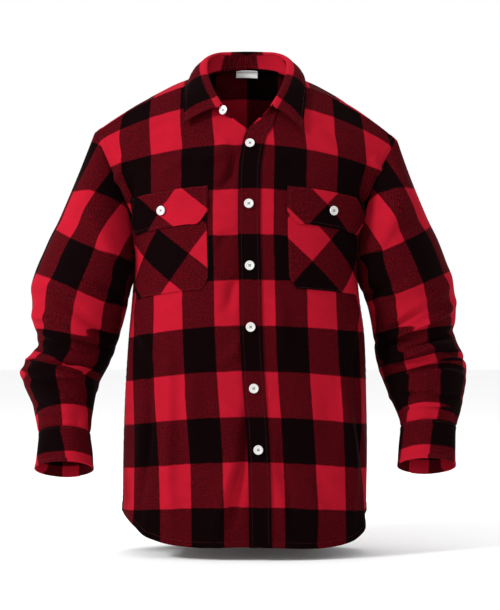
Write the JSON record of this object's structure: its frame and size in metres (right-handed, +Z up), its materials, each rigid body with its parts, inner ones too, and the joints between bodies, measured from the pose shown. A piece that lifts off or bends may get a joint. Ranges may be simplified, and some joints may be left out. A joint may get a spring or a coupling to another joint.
{
  "type": "flannel shirt",
  "caption": "Checked flannel shirt worn hollow, collar open, buttoned placket, flapped bias chest pockets, long sleeves with cuffs and a curved hem.",
  "frame": {"origin": "mount shoulders: on the shoulder crest, midway between the two neck points", "axes": "+X to the wearer's left, -Y to the front, +Z up from hem to neck"},
  "size_m": [0.719, 0.2508, 0.8054],
  "materials": {
    "flannel": "brushed cotton twill in a red and black buffalo check",
    "button_plastic": "white four-hole shirt button",
    "woven_label": "bare white woven tape"
  },
  "bodies": {
    "root": {"front_right": "flannel", "front_left": "flannel", "back": "flannel", "yoke": "flannel", "collar_stand": "flannel", "collar": "flannel", "sleeve_right": "flannel", "sleeve_left": "flannel", "sleeve_placket_right": "flannel", "sleeve_placket_left": "flannel", "cuff_right": "flannel", "cuff_left": "flannel", "placket": "flannel", "pocket_right": "flannel", "pocket_left": "flannel", "flap_right": "flannel", "flap_left": "flannel", "collar_button": "button_plastic", "front_button_1": "button_plastic", "front_button_2": "button_plastic", "front_button_3": "button_plastic", "front_button_4": "button_plastic", "front_button_5": "button_plastic", "front_button_6": "button_plastic", "pocket_button_right": "button_plastic", "pocket_button_left": "button_plastic", "cuff_button_right": "button_plastic", "cuff_button_left": "button_plastic", "neck_label": "woven_label"}
  },
  "joints": []
}
